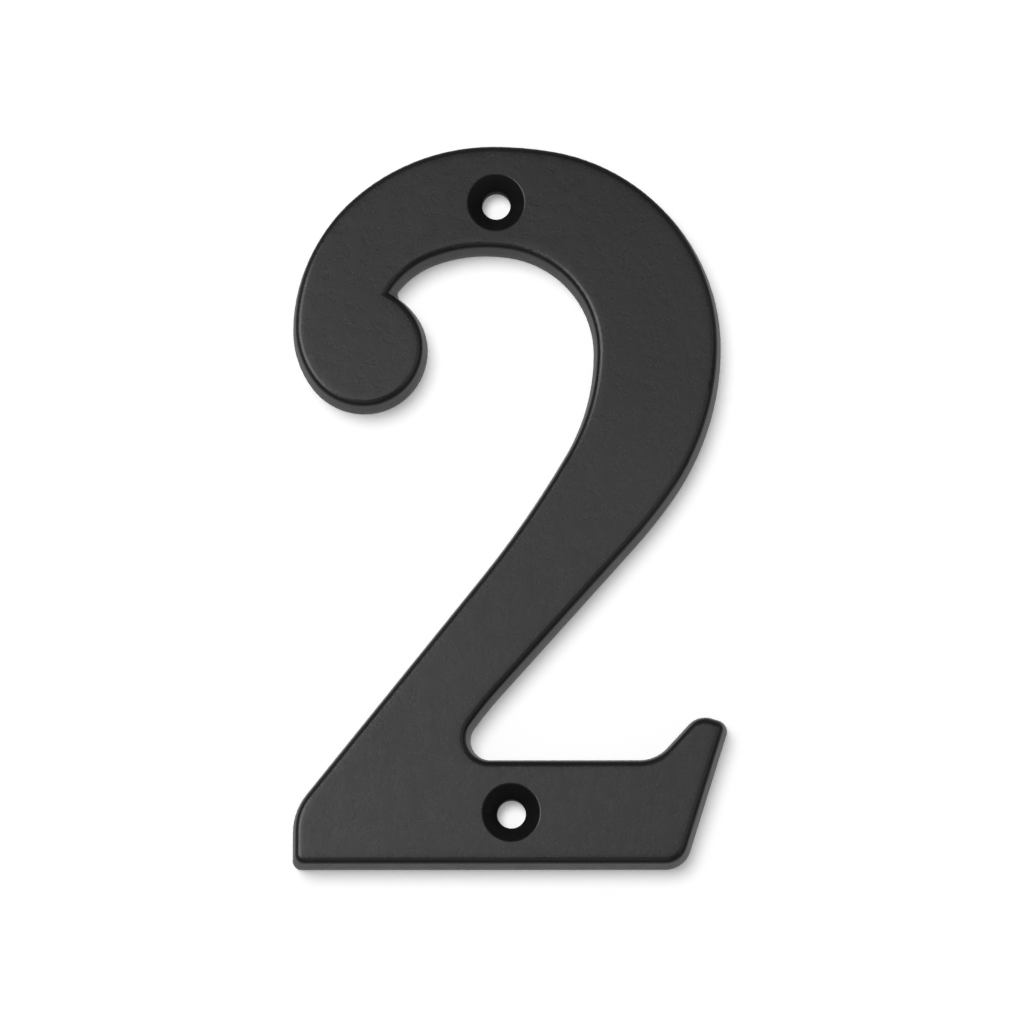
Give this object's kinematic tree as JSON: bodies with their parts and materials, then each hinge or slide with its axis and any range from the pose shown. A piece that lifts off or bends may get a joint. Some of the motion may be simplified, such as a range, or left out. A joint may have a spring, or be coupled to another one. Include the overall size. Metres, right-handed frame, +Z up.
{
  "type": "house number",
  "caption": "House number, the numeral two, cast in one piece with a ball-ended bowl, an upturned foot and countersunk screw holes, for screwing flat to a wall or door.",
  "frame": {"origin": "midway between the two screw holes, on the plane of the back face", "axes": "+Z up as the numeral is read, +X to the reader's right, +Y into the wall; the face looks along -Y"},
  "size_m": [0.0605, 0.0043, 0.1016],
  "materials": {
    "powder_coat": "matte black powder coat with a fine tooth, on a zinc alloy casting"
  },
  "bodies": {
    "root": {"house_number": "powder_coat"}
  },
  "joints": []
}
